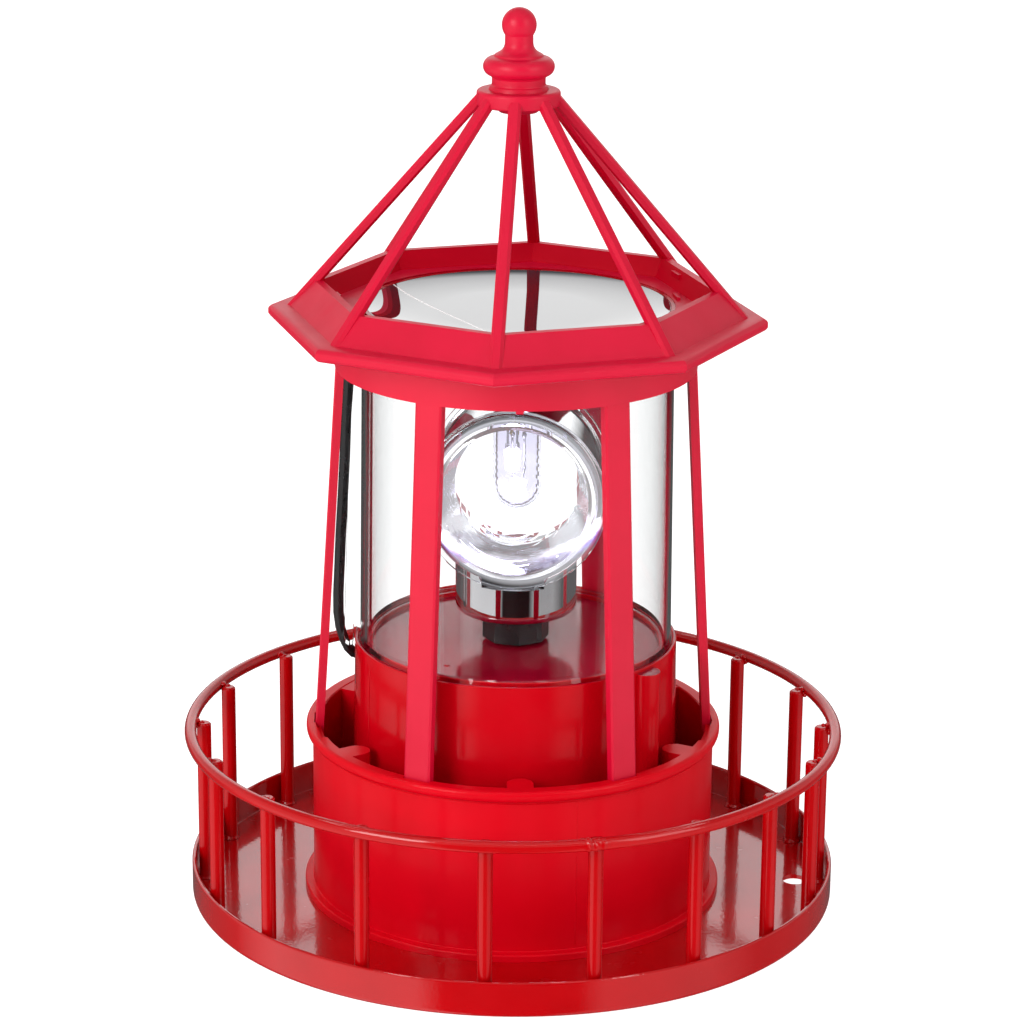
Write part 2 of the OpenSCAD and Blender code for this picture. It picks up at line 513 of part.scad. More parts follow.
// the lead's route, from the cap down to the housing
lead_pts = [[-39.9, 8.1, 148.6], [-39.95, 8.1, 143], [-40.2, 8.1, 137.2], [-40.9, 8.15, 134.4], [-41.4, 8.2, 131], [-42.1, 8.4, 122],
  [-42.5, 8.6, 111], [-43.1, 8.7, 100], [-43.7, 8.8, 90], [-44.1, 8.8, 81], [-44.4, 8.8, 74.5], [-44.4, 8.7, 69.5],
  [-43.9, 8.6, 65.6], [-42.9, 8.5, 62.3], [-41.8, 8.4, 60], [-40.6, 8.4, 58.7], [-39.3, 8.4, 58.4], [-38, 8.4, 58.4],
  [-36.6, 8.4, 58.4]];
module sweep(p, r, m) {
  n = len(p) - 1;
  pts = [for (i = [0:n]) let(
      t0 = p[min(i + 1, n)] - p[max(i - 1, 0)], t = t0/norm(t0),
      v0 = cross(t, [0, 1, 0]), v = v0/norm(v0), w = cross(t, v))
    for (j = [0:m - 1]) p[i] + r*cos(360*j/m)*v + r*sin(360*j/m)*w];
  faces = concat([[for (j = [m - 1:-1:0]) j]],
    [for (i = [0:n - 1]) for (j = [0:m - 1]) [i*m + j, i*m + (j + 1)%m, (i + 1)*m + (j + 1)%m, (i + 1)*m + j]],
    [[for (j = [0:m - 1]) n*m + j]]);
  polyhedron(pts, faces, convexity = 6);
}
module panel_lead() color("#151515") sweep(lead_pts, 1.35, 8);

// ---------- light capsule ----------
module led_capsule() color("#eef3f4", 0.35) lamp() rotate_extrude() polygon(concat(
  [[4.9, 146.9]], arc(0, 106.4, 4.9, 0, -90, 10), arc(0, 106.4, 5.8, -90, 0, 12), [[5.8, 146.9]]));
// each bulb: x, height of its lens centre
bulbs = [[-1.2, 111.2], [0.3, 103.6]];
module rod(p, q, r) {
  v = q - p;
  translate(p) rotate([0, acos(v[2]/norm(v)), atan2(v[1], v[0])]) cylinder(r = r, h = norm(v), $fn = 24);
}
module led_bulbs() color("#f4f6ff") lamp()
  for (b = bulbs) translate([b[0], 0, b[1]]) {
    sphere(r = 1.85);
    cylinder(r = 1.85, h = 3);
    translate([0, 0, 3]) cylinder(r = 2.1, h = 0.7);
  }
module led_leads() color("#b9b4a8") lamp() for (s = [-1, 1]) {
  // upper bulb's legs
  rod([bulbs[0][0] + s*1.1, 0, bulbs[0][1] + 3.71], [bulbs[0][0] + s*1.5, 0, 147], 0.28);
  // lower bulb's legs pass behind the upper bulb
  rod([bulbs[1][0] + s*0.9, 1.2, bulbs[1][1] + 3.9], [bulbs[1][0] + s*1.5, 3, 109.4], 0.28);
  translate([bulbs[1][0] + s*1.5, 3, 109.4]) sphere(r = 0.36, $fn = 24);
  rod([bulbs[1][0] + s*1.5, 3, 109.4], [bulbs[1][0] + s*1.5, 3, 147], 0.28);
}

tray();
rail_ring();
rail_uprights();
drum();
drum_screws();
lantern_cage();
roof();
finial();
lamp_housing();
bottom_cover();
cover_screws();
battery_door();
door_screw();
battery();
battery_contact();
battery_spring();
circuit_board();
board_parts();
board_screws();
switch_body();
switch_slider();
gear_plate();
plate_screws();
motor();
motor_screws();
motor_shaft();
motor_pinion();
idler_axle();
idler_gear();
output_gear();
spindle();
spindle_bush();
rotor_hub();
lens_barrel();
front_reflector();
rear_reflector();
front_lens();
rear_lens();
clear_tube();
panel_cap();
solar_panel();
panel_lead();
led_capsule();
led_bulbs();
led_leads();
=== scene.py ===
import math

import bmesh
import bpy
from mathutils import Matrix, Vector


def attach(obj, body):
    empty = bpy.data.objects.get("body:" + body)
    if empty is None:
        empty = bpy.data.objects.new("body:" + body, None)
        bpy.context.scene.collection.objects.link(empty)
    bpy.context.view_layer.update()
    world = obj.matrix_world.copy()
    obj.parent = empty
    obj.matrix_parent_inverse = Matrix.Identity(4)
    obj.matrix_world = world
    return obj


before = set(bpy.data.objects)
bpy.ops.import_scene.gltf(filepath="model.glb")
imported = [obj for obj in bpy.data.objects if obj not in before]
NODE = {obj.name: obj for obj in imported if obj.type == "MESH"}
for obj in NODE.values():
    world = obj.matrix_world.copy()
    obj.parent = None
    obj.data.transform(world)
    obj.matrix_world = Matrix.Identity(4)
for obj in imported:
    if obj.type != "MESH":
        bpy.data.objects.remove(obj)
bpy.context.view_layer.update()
MM = 0.001
COL = bpy.context.scene.collection


# ---------------------------------------------------------------- camera
def make_camera():
    pitch, yaw, roll = math.radians(17.155), math.radians(-0.05), math.radians(0.505)
    cp, sp, cy, sy = math.cos(pitch), math.sin(pitch), math.cos(yaw), math.sin(yaw)
    fwd = Vector((sy * cp, cy * cp, -sp))
    up0 = Vector((sy * sp, cy * sp, cp))
    right0 = Vector((cy, -sy, 0))
    cr, sr = math.cos(roll), math.sin(roll)
    right = cr * right0 + sr * up0
    up = -sr * right0 + cr * up0
    data = bpy.data.cameras.new("camera")
    data.sensor_width = 36
    data.lens = 120.92
    data.clip_start, data.clip_end = 0.01, 50
    cam = bpy.data.objects.new("camera", data)
    COL.objects.link(cam)
    m = Matrix((right, up, -fwd)).transposed().to_4x4()
    m.translation = Vector((0, -0.81531, 0.35067))
    cam.matrix_world = m
    bpy.context.scene.camera = cam
    return cam


make_camera()


# ---------------------------------------------------------------- node helpers
class Nodes:
    """Builds one material's nodes."""

    def __init__(self, name, world=None):
        self.mat = world or bpy.data.materials.new(name)
        self.mat.use_nodes = True
        self.tree = self.mat.node_tree
        self.tree.nodes.clear()
        self.out = self.add("ShaderNodeOutputWorld" if world else "ShaderNodeOutputMaterial")
        self.tc = self.add("ShaderNodeTexCoord")

    def add(self, kind, **props):
        n = self.tree.nodes.new(kind)
        for k, v in props.items():
            setattr(n, k, v)
        return n

    def link(self, a, b):
        self.tree.links.new(a, b)

    def noise(self, scale, detail=3.0, rough=0.5, vector=None, stretch=None):
        n = self.add("ShaderNodeTexNoise")
        n.inputs["Scale"].default_value = scale
        n.inputs["Detail"].default_value = detail
        n.inputs["Roughness"].default_value = rough
        src = vector or self.tc.outputs["Object"]
        if stretch:
            m = self.add("ShaderNodeMapping")
            m.inputs["Scale"].default_value = stretch
            self.link(src, m.inputs["Vector"])
            src = m.outputs["Vector"]
        self.link(src, n.inputs["Vector"])
        return n.outputs["Fac"]

    def voronoi(self, scale, feature="F1"):
        n = self.add("ShaderNodeTexVoronoi", feature=feature)
        n.inputs["Scale"].default_value = scale
        self.link(self.tc.outputs["Object"], n.inputs["Vector"])
        return n.outputs["Distance"]

    def math(self, op, a, b=None, clamp=False):
        n = self.add("ShaderNodeMath", operation=op, use_clamp=clamp)
        for i, v in enumerate((a, b)):
            if v is None:
                continue
            if isinstance(v, (int, float)):
                n.inputs[i].default_value = v
            else:
                self.link(v, n.inputs[i])
        return n.outputs[0]

    def span(self, value, a, b, c, d):
        n = self.add("ShaderNodeMapRange", clamp=True)
        self.link(value, n.inputs["Value"])
        for k, v in zip(("From Min", "From Max", "To Min", "To Max"), (a, b, c, d)):
            n.inputs[k].default_value = v
        return n.outputs["Result"]

    def fade(self, fac, a, b):
        return self.math("ADD", self.math("MULTIPLY", self.math("SUBTRACT", 1.0, fac), a), self.math("MULTIPLY", fac, b))

    def mix(self, fac, a, b):
        n = self.add("ShaderNodeMix", data_type="RGBA")
        self.link(fac, n.inputs["Factor"])
        for key, v in ((6, a), (7, b)):
            if isinstance(v, tuple):
                n.inputs[key].default_value = (*v[:3], 1)
            else:
                self.link(v, n.inputs[key])
        return n.outputs[2]

    def xyz(self):
        n = self.add("ShaderNodeSeparateXYZ")
        self.link(self.tc.outputs["Object"], n.inputs[0])
        return n.outputs

    def bump(self, height, strength, distance, normal=None):
        n = self.add("ShaderNodeBump")
        n.inputs["Strength"].default_value = strength
        n.inputs["Distance"].default_value = distance
        self.link(height, n.inputs["Height"])
        if normal is not None:
            self.link(normal, n.inputs["Normal"])
        return n.outputs["Normal"]

    def principled(self, color, rough, **kw):
        p = self.add("ShaderNodeBsdfPrincipled")
        if isinstance(color, tuple):
            p.inputs["Base Color"].default_value = (*color[:3], 1)
        else:
            self.link(color, p.inputs["Base Color"])
        if isinstance(rough, (int, float)):
            p.inputs["Roughness"].default_value = rough
        else:
            self.link(rough, p.inputs["Roughness"])
        for k, v in kw.items():
            key = k.replace("_", " ")
            if isinstance(v, (int, float)):
                p.inputs[key].default_value = v
            elif isinstance(v, tuple):
                p.inputs[key].default_value = (*v[:3], 1) if len(p.inputs[key].default_value) == 4 else v
            else:
                self.link(v, p.inputs[key])
        return p

    def done(self, shader):
        self.link(shader.outputs[0] if hasattr(shader, "outputs") else shader, self.out.inputs["Surface"])
        return self.mat


def moulded(name, base, dark, rough, spec=0.3, coat=0.0, grain=0.10, grain_d=0.00006, var=1.0, wave=0.05, inward_shade=None, deck_shade=None):
    """Moulded plastic: faint flow marks in the colour, a fine grain and soft sink marks."""
    n = Nodes(name)
    flow = n.noise(38, 3, 0.55, stretch=(1, 1, 0.35))
    cloud = n.noise(160, 2, 0.5)
    f = n.span(n.math("ADD", n.math("MULTIPLY", flow, 0.7), n.math("MULTIPLY", cloud, 0.3)), 0.35, 0.68, 0.0, var)
    color = n.mix(f, base, dark)
    r = n.span(n.noise(90, 4, 0.6), 0.3, 0.7, rough - 0.04, rough + 0.05)
    normal = n.bump(n.noise(2600, 2, 0.6), grain, grain_d)
    normal = n.bump(n.noise(70, 2, 0.4), wave, 0.0008, normal)
    if inward_shade:
        # painted shade: faces turned towards the axis are made deeper in colour and less glossy, standing in for the
        # shade on the inner walls
        g = n.add("ShaderNodeNewGeometry")
        s = n.add("ShaderNodeSeparateXYZ")
        n.link(g.outputs["Normal"], s.inputs[0])
        x, y, z = n.xyz()
        facing = n.math("ADD", n.math("MULTIPLY", x, s.outputs[0]), n.math("MULTIPLY", y, s.outputs[1]))
        painted_mask = n.span(facing, -0.012, -0.004, 1.0, 0.0)
        color = n.mix(painted_mask, color, inward_shade)
        spec = n.fade(painted_mask, spec, 0.03)
    if deck_shade:
        # painted shade: the deck's upper face is made deeper than the walls, standing in for the shadow and dark
        # reflection of the hub and lens foot above it
        g = n.add("ShaderNodeNewGeometry")
        s = n.add("ShaderNodeSeparateXYZ")
        n.link(g.outputs["Normal"], s.inputs[0])
        color = n.mix(n.span(s.outputs[2], 0.85, 0.97, 0.0, 1.0), color, deck_shade)
    p = n.principled(color, r, Specular_IOR_Level=spec, Normal=normal)
    if coat:
        p.inputs["Coat Weight"].default_value = coat
        p.inputs["Coat Roughness"].default_value = 0.12
    return n.done(p)


def enamel(name, base, dark, coat=1.0, coat_ior=1.65):
    """Gloss enamel on sheet metal and wire: orange peel, tiny dust nibs, a faintly uneven tone."""
    n = Nodes(name)
    peel = n.noise(1250, 2, 0.5)
    nib = n.span(n.voronoi(420), 0.0, 0.09, 1.0, 0.0)
    f = n.span(n.noise(55, 3, 0.5), 0.35, 0.7, 0.0, 1.0)
    color = n.mix(f, base, dark)
    r = n.span(n.noise(120, 3, 0.6), 0.3, 0.7, 0.20, 0.28)
    normal = n.bump(peel, 0.15, 0.00012)
    normal = n.bump(n.noise(60, 2, 0.4), 0.06, 0.0006, normal)
    normal = n.bump(nib, 0.05, 0.0001, normal)
    p = n.principled(color, r, Specular_IOR_Level=0.06, Coat_Weight=coat, Coat_Roughness=0.012, Coat_IOR=coat_ior, Normal=normal)
    n.link(normal, p.inputs["Coat Normal"])
    return n.done(p)


def steel(name, base, rough, brushed=(1, 1, 40), metallic=1.0):
    n = Nodes(name)
    streak = n.noise(400, 3, 0.6, stretch=brushed)
    color = n.mix(n.span(streak, 0.3, 0.7, 0, 1), base, tuple(c * 0.72 for c in base))
    r = n.span(n.noise(240, 3, 0.6), 0.3, 0.7, rough - 0.05, rough + 0.08)
    normal = n.bump(streak, 0.08, 0.00004)
    return n.done(n.principled(color, r, Metallic=metallic, Normal=normal))


def clear(name, tint, ior=1.46, rough=0.0, haze=0.02, wave=0.03, lit=False):
    """Clear moulded plastic. Lamps' rays pass straight through."""
    n = Nodes(name)
    normal = n.bump(n.noise(26, 2, 0.4, stretch=(1, 1, 0.12)), wave, 0.0006)
    r = n.span(n.noise(60, 3, 0.6), 0.45, 0.75, rough, rough + haze)
    g = n.principled(tint, r, Transmission_Weight=1.0, IOR=ior, Normal=normal)
    if lit:
        # painted glow standing in for the lamps' light caught in the moulding: a veil, and a bright curved streak low
        # down, drawn as emission
        x, y, z = n.xyz()
        mx = n.math("MULTIPLY", n.math("SUBTRACT", x, 0.00045), 1000.0)
        mz = n.math("MULTIPLY", n.math("SUBTRACT", z, 0.1062), 1000.0)
        off = n.math("ADD", mx, 1.6)
        curve = n.math("SUBTRACT", n.math("MULTIPLY", n.math("MULTIPLY", off, off), 0.0175), 14.4)
        rag = n.math("MULTIPLY", n.math("SUBTRACT", n.noise(140, 4, 0.65, stretch=(0.6, 1, 1.6)), 0.5), 7.0)
        d = n.math("ADD", n.math("SUBTRACT", mz, curve), rag)
        painted_mask = n.span(n.math("ABSOLUTE", n.math("SUBTRACT", d, 0.6)), 0.3, 2.2, 1.0, 0.0)
        halo = n.span(n.math("ABSOLUTE", n.math("ADD", d, 0.8)), 0.6, 3.4, 1.0, 0.0)
        near = n.span(n.math("ABSOLUTE", mx), 3.0, 17.0, 0.22, 1.0)
        r2 = n.math("SQRT", n.math("ADD", n.math("MULTIPLY", mx, mx), n.math("MULTIPLY", mz, mz)))
        veil = n.math("MULTIPLY", n.span(r2, 12.0, 19.0, 0.13, 0.07), n.span(d, -4.0, 0.5, 0.0, 1.0))
        inside = n.span(r2, 20.6, 21.4, 1.0, 0.0)
        flange = n.math("MULTIPLY", n.math("MULTIPLY", n.span(r2, 18.6, 19.6, 0.0, 1.0), n.span(r2, 21.0, 21.9, 1.0, 0.0)), n.span(mz, -17.0, 2.0, 0.13, 0.03))
        painted_mask = n.math("MULTIPLY", painted_mask, near)
        halo = n.math("MULTIPLY", halo, near)
        white = n.math("MULTIPLY", painted_mask, 0.9)
        n.link(n.mix(n.math("MULTIPLY", halo, n.span(painted_mask, 0.0, 0.8, 1.0, 0.15)), (0.97, 0.96, 1.0), (0.36, 0.28, 1.0)), g.inputs["Emission Color"])
        total = n.math("ADD", n.math("ADD", veil, white), n.math("MULTIPLY", halo, 0.30))
        n.link(n.math("ADD", n.math("MULTIPLY", total, inside), flange), g.inputs["Emission Strength"])
    t = n.add("ShaderNodeBsdfTransparent")
    t.inputs["Color"].default_value = (*tint[:3], 1)
    lp = n.add("ShaderNodeLightPath")
    m = n.add("ShaderNodeMixShader")
    n.link(lp.outputs["Is Shadow Ray"], m.inputs[0])
    n.link(g.outputs[0], m.inputs[1])
    n.link(t.outputs[0], m.inputs[2])
    return n.done(m)


# ---------------------------------------------------------------- materials
M = {}
M["red_plastic"] = moulded("red_plastic", (0.68, 0.0015, 0.032), (0.62, 0.001, 0.026), 0.40, spec=0.38)
# roof_red carries a painted shade on the faces turned towards the axis
M["roof_red"] = moulded("roof_red", (0.64, 0.0012, 0.032), (0.58, 0.0008, 0.026), 0.40, spec=0.28, inward_shade=(0.50, 0.0006, 0.013))
M["red_satin"] = moulded("red_satin", (0.70, 0.0006, 0.010), (0.64, 0.0005, 0.007), 0.34, spec=0.06, coat=0.12, wave=0.04)
# red_gloss carries a painted shade on the deck's upper face
M["red_gloss"] = moulded("red_gloss_plastic", (0.56, 0.0006, 0.007), (0.50, 0.0006, 0.005), 0.12, spec=0.30, grain=0.015, wave=0.06, deck_shade=(0.28, 0.0006, 0.014))
M["red_metal"] = enamel("red_metal", (0.48, 0.0004, 0.003), (0.42, 0.0003, 0.002))
M["red_wire"] = enamel("red_wire", (0.49, 0.0005, 0.003), (0.44, 0.0004, 0.002), coat_ior=1.5, coat=0.8)
M["cap_red"] = moulded("cap_red", (0.42, 0.001, 0.006), (0.36, 0.001, 0.005), 0.22, spec=0.5, grain=0.03)
M["screw"] = steel("screw_steel", (0.62, 0.62, 0.64), 0.28)
M["bright"] = steel("contact_steel", (0.72, 0.71, 0.69), 0.2)
M["motor"] = steel("motor_steel", (0.55, 0.56, 0.59), 0.3, brushed=(1, 1, 18))
M["brass"] = steel("bush_brass", (0.68, 0.47, 0.19), 0.24, brushed=(1, 1, 30))
M["gear"] = moulded("gear_plastic", (0.80, 0.77, 0.66), (0.74, 0.70, 0.58), 0.42, spec=0.4, grain=0.06)
M["black"] = moulded("hub_black", (0.012, 0.012, 0.013), (0.02, 0.019, 0.02), 0.16, spec=0.5, grain=0.03)
M["dark_part"] = moulded("component_black", (0.022, 0.022, 0.025), (0.035, 0.034, 0.036), 0.45, spec=0.4)
M["switch"] = steel("switch_case", (0.6, 0.61, 0.64), 0.35, metallic=0.6)
M["wire"] = moulded("wire_sheath", (0.42, 0.30, 0.12), (0.34, 0.24, 0.09), 0.35, spec=0.4, grain=0.04)
M["lead"] = moulded("lead_black", (0.010, 0.010, 0.011), (0.016, 0.016, 0.017), 0.28, spec=0.5, grain=0.05)
M["tube"] = clear("clear_tube", (0.965, 0.97, 0.97), haze=0.015)
M["capsule"] = clear("capsule_clear", (0.87, 0.85, 0.95), ior=1.065, haze=0.04)
M["lens"] = clear("lens_clear", (0.985, 0.99, 1.0), ior=1.49, haze=0.0, wave=0.0)
M["front_lens"] = clear("front_lens_clear", (0.985, 0.99, 1.0), ior=1.49, haze=0.0, wave=0.0, lit=True)


def chrome(name="reflector_chrome", glow=0.0):
    n = Nodes(name)
    wave = n.noise(90, 2, 0.5)
    r = n.span(n.noise(300, 3, 0.6), 0.4, 0.8, 0.02, 0.07)
    normal = n.bump(wave, 0.10, 0.0005)
    color = n.mix(n.span(n.noise(40, 2, 0.5), 0.3, 0.7, 0, 1), (0.88, 0.88, 0.90), (0.80, 0.80, 0.83))
    p = n.principled(color, r, Metallic=1.0, Normal=normal)
    if glow:
        # painted glow standing in for the lamps' light scattered on the lacquered metal, with violet streaks low at the
        # sides, drawn as emission
        x, y, z = n.xyz()
        streak = n.span(n.noise(75, 4, 0.6, stretch=(0.5, 1.0, 1.8)), 0.50, 0.62, 0.0, 1.0)
        low = n.math("MULTIPLY", n.span(z, 0.092, 0.097, 0.0, 1.0), n.span(z, 0.101, 0.107, 1.0, 0.0))
        v = n.math("MULTIPLY", n.math("MULTIPLY", streak, low), n.span(n.math("ABSOLUTE", x), 0.009, 0.016, 0.25, 1.0))
        n.link(n.mix(v, (0.88, 0.88, 1.0), (0.62, 0.56, 1.0)), p.inputs["Emission Color"])
        n.link(n.math("ADD", n.math("MULTIPLY", v, 1.5), n.span(z, 0.0905, 0.0955, 0.3 * glow, glow)), p.inputs["Emission Strength"])
    return n.done(p)


def board():
    n = Nodes("board_green")
    x, y, z = n.xyz()
    track = n.span(n.math("ABSOLUTE", n.math("SUBTRACT", n.math("FRACT", n.math("MULTIPLY", x, 260)), 0.5)), 0.10, 0.14, 1.0, 0.0)
    gate = n.span(n.noise(60, 1, 0.4, stretch=(0.1, 1, 1)), 0.5, 0.53, 0.0, 1.0)
    f = n.math("MULTIPLY", track, gate)
    color = n.mix(f, (0.012, 0.13, 0.035), (0.03, 0.24, 0.07))
    normal = n.bump(f, 0.3, 0.00006)
    return n.done(n.principled(color, n.span(n.noise(500, 2, 0.5), 0.3, 0.7, 0.24, 0.34), Specular_IOR_Level=0.5, Normal=normal))


def cell_sleeve():
    n = Nodes("battery_sleeve")
    x, y, z = n.xyz()
    ends = n.math("ADD", n.span(x, -0.0237, -0.0235, 1.0, 0.0), n.span(x, 0.0236, 0.0238, 0.0, 1.0), clamp=True)
    band = n.math("MULTIPLY", n.span(x, 0.0095, 0.0096, 0.0, 1.0), n.span(x, 0.0235, 0.0236, 1.0, 0.0))
    body = n.mix(band, (0.02, 0.20, 0.07), (0.72, 0.74, 0.76))
    color = n.mix(ends, body, (0.66, 0.66, 0.66))
    rough = n.span(n.noise(200, 2, 0.5), 0.3, 0.7, 0.18, 0.28)
    return n.done(n.principled(color, rough, Metallic=ends, Normal=n.bump(n.noise(120, 2, 0.5), 0.06, 0.0002)))


def solar():
    n = Nodes("solar_cell")
    x, y, z = n.xyz()
    # collector lines across the cell, one wide joint between its halves
    line = n.math("FRACT", n.math("MULTIPLY", n.math("ADD", n.math("MULTIPLY", x, 0.94), n.math("MULTIPLY", y, 0.34)), 52))
    fine = n.span(n.math("ABSOLUTE", n.math("SUBTRACT", line, 0.5)), 0.485, 0.492, 0.0, 1.0)
    grain = n.span(n.noise(900, 2, 0.7), 0.35, 0.7, 0.0, 1.0)
    cell = n.mix(grain, (0.018, 0.020, 0.030), (0.030, 0.033, 0.046))
    color = n.mix(fine, cell, (0.34, 0.34, 0.35))
    normal = n.bump(n.noise(45, 2, 0.4), 0.05, 0.0006)
    p = n.principled(color, n.span(n.noise(200, 2, 0.5), 0.3, 0.7, 0.02, 0.05), Specular_IOR_Level=1.0, IOR=2.2, Coat_Weight=1.0, Coat_Roughness=0.01, Coat_IOR=2.4, Normal=normal)
    return n.done(p)


def led_glow():
    n = Nodes("led_epoxy")
    x, y, z = n.xyz()
    f = n.noise(900, 2, 0.5)
    color = n.mix(n.span(f, 0.3, 0.7, 0, 1), (0.93, 0.94, 1.0), (0.85, 0.88, 1.0))
    p = n.principled(color, n.span(f, 0.3, 0.7, 0.08, 0.16))
    p.inputs["Emission Color"].default_value = (0.80, 0.78, 1.0, 1)
    p.inputs["Emission Strength"].default_value = 9
    return n.done(p)


M["chrome"] = chrome()
M["bowl"] = chrome("lit_chrome", 0.24)
M["board"] = board()
M["cell"] = cell_sleeve()
M["solar"] = solar()
M["led"] = led_glow()

LOOK = {
    "tray": "red_metal", "rail_ring": "red_wire", "rail_uprights": "red_wire",
    "drum": "red_satin", "drum_screws": "screw", "lantern_cage": "red_plastic", "roof": "roof_red",
    "finial": "roof_red", "lamp_housing": "red_gloss", "bottom_cover": "red_plastic", "cover_screws": "screw",
    "battery_door": "red_plastic", "door_screw": "screw", "battery": "cell", "battery_contact": "bright",
    "battery_spring": "bright", "circuit_board": "board", "board_parts": "dark_part", "board_screws": "screw",
    "switch_body": "switch", "switch_slider": "dark_part", "gear_plate": "gear", "plate_screws": "screw",
    "motor": "motor", "motor_screws": "screw", "motor_shaft": "bright", "motor_pinion": "gear",
    "idler_axle": "bright", "idler_gear": "gear", "output_gear": "gear", "spindle": "bright",
    "spindle_bush": "brass", "rotor_hub": "black", "lens_barrel": "chrome", "front_reflector": "bowl",
    "rear_reflector": "bowl", "front_lens": "front_lens",
    "rear_lens": "lens", "clear_tube": "tube", "panel_cap": "cap_red", "solar_panel": "solar",
    "panel_lead": "lead", "led_capsule": "capsule", "led_bulbs": "led", "led_leads": "bright",
}
for name, o in NODE.items():
    o.data.materials.clear()
    o.data.materials.append(M[LOOK[name]])


EDGES = {"roof": 0.32, "lantern_cage": 0.22, "drum": 0.18, "finial": 0.12}


def edge(name, width, segments=3, angle=24):
    """Rounds a CAD node's sharp edges, as moulded and cast edges are."""
    o = NODE[name]
    o.modifiers.new("join", "WELD").merge_threshold = 0.000002
    b = o.modifiers.new("edge", "BEVEL")
    b.width = width * MM
    b.segments = segments
    b.limit_method = "ANGLE"
    b.angle_limit = math.radians(angle)
    b.use_clamp_overlap = True
    w = o.modifiers.new("shade", "WEIGHTED_NORMAL")
    w.mode = "FACE_AREA"
    w.weight = 90


for name, width in EDGES.items():
    edge(name, width)


# ---------------------------------------------------------------- detail pieces
def rnd(seed):
    """Repeatable noise in -1..1 from whole numbers."""
    v = math.sin(seed * 12.9898 + 4.1414) * 43758.5453
    return 2 * (v - math.floor(v)) - 1


def on(az, r, z):
    a = math.radians(az)
    return Vector((r * math.sin(a), -r * math.cos(a), z)) * MM


def piece(name, bm, look, body="base", smooth=True):
    bmesh.ops.recalc_face_normals(bm, faces=bm.faces)
    me = bpy.data.meshes.new(name)
    bm.to_mesh(me)
    bm.free()
    for f in me.polygons:
        f.use_smooth = smooth
    me.materials.append(M[look])
    o = bpy.data.objects.new(name, me)
    COL.objects.link(o)
    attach(o, body)
    return o


def lathe(bm, profile, steps=128, centre=(0, 0)):
    """Closed ring of revolution about a vertical line; profile points on the line become poles."""
    rows = []
    for r, z in profile:
        if r < 1e-6:
            rows.append([bm.verts.new(Vector((centre[0], centre[1], z)) * MM)])
        else:
            rows.append([bm.verts.new(Vector((centre[0] + r * math.cos(2 * math.pi * i / steps), centre[1] + r * math.sin(2 * math.pi * i / steps), z)) * MM) for i in range(steps)])
    pairs = list(zip(rows, rows[1:]))
    if len(rows[0]) > 1 and len(rows[-1]) > 1:
        pairs.append((rows[-1], rows[0]))
    for p, q in pairs:
        for i in range(steps):
            j = (i + 1) % steps
            if len(p) == 1:
                bm.faces.new((p[0], q[i], q[j]))
            elif len(q) == 1:
                bm.faces.new((p[i], q[0], p[j]))
            else:
                bm.faces.new((p[i], q[i], q[j], p[j]))


def blob(bm, at, size, seed, rough=0.14, turn=0.0):
    """A small uneven bead of weld metal or paint."""
    r = bmesh.ops.create_icosphere(bm, subdivisions=3, radius=1.0)
    m = Matrix.Rotation(math.radians(turn), 3, "Z")
    for v in r["verts"]:
        d = v.co.normalized()
        k = 1 + rough * math.sin(3.1 * d.x + seed) * math.cos(2.7 * d.y + 1.7 * seed) + rough * 0.6 * math.sin(5.3 * d.z + 2.3 * seed + 2 * d.x)
        v.co = at + m @ Vector((d.x * size[0], d.y * size[1], d.z * size[2])) * k * MM


LAMP_X = 0.45
UPRIGHTS = [-4.5, 14.5, 33.8, 52.6, 71.2, 89.6, 109.3, 130, 150, 170, 190, 211, 231, 251.5, 271.2, 291, 311.5, 333.2]
RAIL_R, RAIL_Z, UP_R = 81.2, 43.2, 78.02


def welds():
    bm = bmesh.new()
    for i, az in enumerate(UPRIGHTS):
        # bead between the upright's end and the ring
        blob(bm, on(az + 0.35 * rnd(i), RAIL_R - 1.55, RAIL_Z + 0.35 + 0.2 * rnd(i + 40)), (0.95 + 0.15 * rnd(i + 80), 0.75, 0.62 + 0.1 * rnd(i + 7)), i * 1.7, turn=az)
        blob(bm, on(az + 0.5 * rnd(i + 11), UP_R + 0.5, RAIL_Z - 0.1), (0.9, 0.75, 0.55), i * 2.9, turn=az)
        blob(bm, on(az - 0.7, RAIL_R - 1.35, RAIL_Z - 1.0), (0.8, 0.6, 0.75), i * 0.7, turn=az)
        # foot weld: a low collar with one thicker spot
        steps = 28
        rows = []
        for j, (rr, z) in enumerate(((1.72, 2.2), (1.88, 1.85), (2.02, 1.5), (2.2, 1.28), (2.32, 1.12), (1.72, 1.12))):
            rows.append([])
            for k in range(steps):
                a = 2 * math.pi * k / steps
                w = 0 if j in (0, 5) else 0.09 * math.sin(2 * a + i) + 0.06 * math.sin(5 * a + 2.3 * i)
                c = on(az, UP_R, 0)
                zz = z + (0.12 * math.sin(3 * a + 1.3 * i) if j in (0, 1, 2) else 0)
                rows[-1].append(bm.verts.new((c.x + (rr + w) * math.cos(a) * MM, c.y + (rr + w) * math.sin(a) * MM, zz * MM)))
        for p, q in zip(rows, rows[1:] + rows[:1]):
            for k in range(steps):
                bm.faces.new((p[k], q[k], q[(k + 1) % steps], p[(k + 1) % steps]))
        blob(bm, on(az + 1.0 * rnd(i + 3), UP_R - 1.75, 1.45), (0.62, 0.5, 0.42), i * 3.3, turn=az)
    piece("weld_beads", bm, "red_wire")


